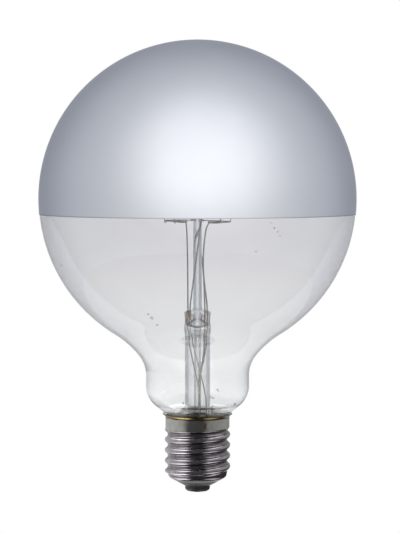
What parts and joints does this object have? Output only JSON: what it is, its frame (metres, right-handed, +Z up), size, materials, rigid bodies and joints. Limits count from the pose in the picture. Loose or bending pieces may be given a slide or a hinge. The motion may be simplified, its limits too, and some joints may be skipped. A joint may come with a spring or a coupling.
{
  "type": "globe bulb",
  "caption": "Large globe lamp bulb with a silvered upper half, clear lower half, glass stem and wires, ring filament and large screw cap.",
  "frame": {"origin": "middle of the soldered end contact's flat, the lowest point of the bulb", "axes": "+Z up the bulb's axis, from the cap's end contact to the crown; -Y is the front that the picture shows"},
  "size_m": [0.1902, 0.1902, 0.2714],
  "materials": {
    "clear_glass": "clear blown glass",
    "silver_coat": "satin silver coat",
    "stem_glass": "clear drawn glass",
    "nickel_cap": "nickel-plated brass, dull",
    "black_glass": "black moulded glass",
    "contact_metal": "dark tarnished metal",
    "solder": "dull solder, grey",
    "cement": "matt basing cement, olive brown",
    "tungsten": "coiled tungsten wire",
    "nickel_wire": "drawn nickel wire",
    "copper_wire": "copper-coated wire, borated",
    "strand_wire": "tinned copper wire",
    "support_metal": "molybdenum wire"
  },
  "bodies": {
    "root": {"basing_cement": "cement", "cap_insulator": "black_glass", "cap_shell": "nickel_cap", "centre_contact": "contact_metal", "centre_rod": "stem_glass", "exhaust_tube": "stem_glass", "filament_left": "tungsten", "filament_right": "tungsten", "glass_envelope": "clear_glass", "inner_lead_back_left": "nickel_wire", "inner_lead_back_right": "nickel_wire", "inner_lead_front_left": "nickel_wire", "inner_lead_front_right": "nickel_wire", "mirror_coating": "silver_coat", "outer_lead_back_left": "strand_wire", "outer_lead_back_right": "strand_wire", "outer_lead_front_left": "strand_wire", "outer_lead_front_right": "strand_wire", "seal_wire_back_left": "copper_wire", "seal_wire_back_right": "copper_wire", "seal_wire_front_left": "copper_wire", "seal_wire_front_right": "copper_wire", "side_solder": "solder", "stem_tube": "stem_glass", "support_wire_1": "support_metal", "support_wire_2": "support_metal", "support_wire_3": "support_metal", "support_wire_4": "support_metal", "support_wire_5": "support_metal", "support_wire_6": "support_metal", "tip_solder": "solder"}
  },
  "joints": []
}
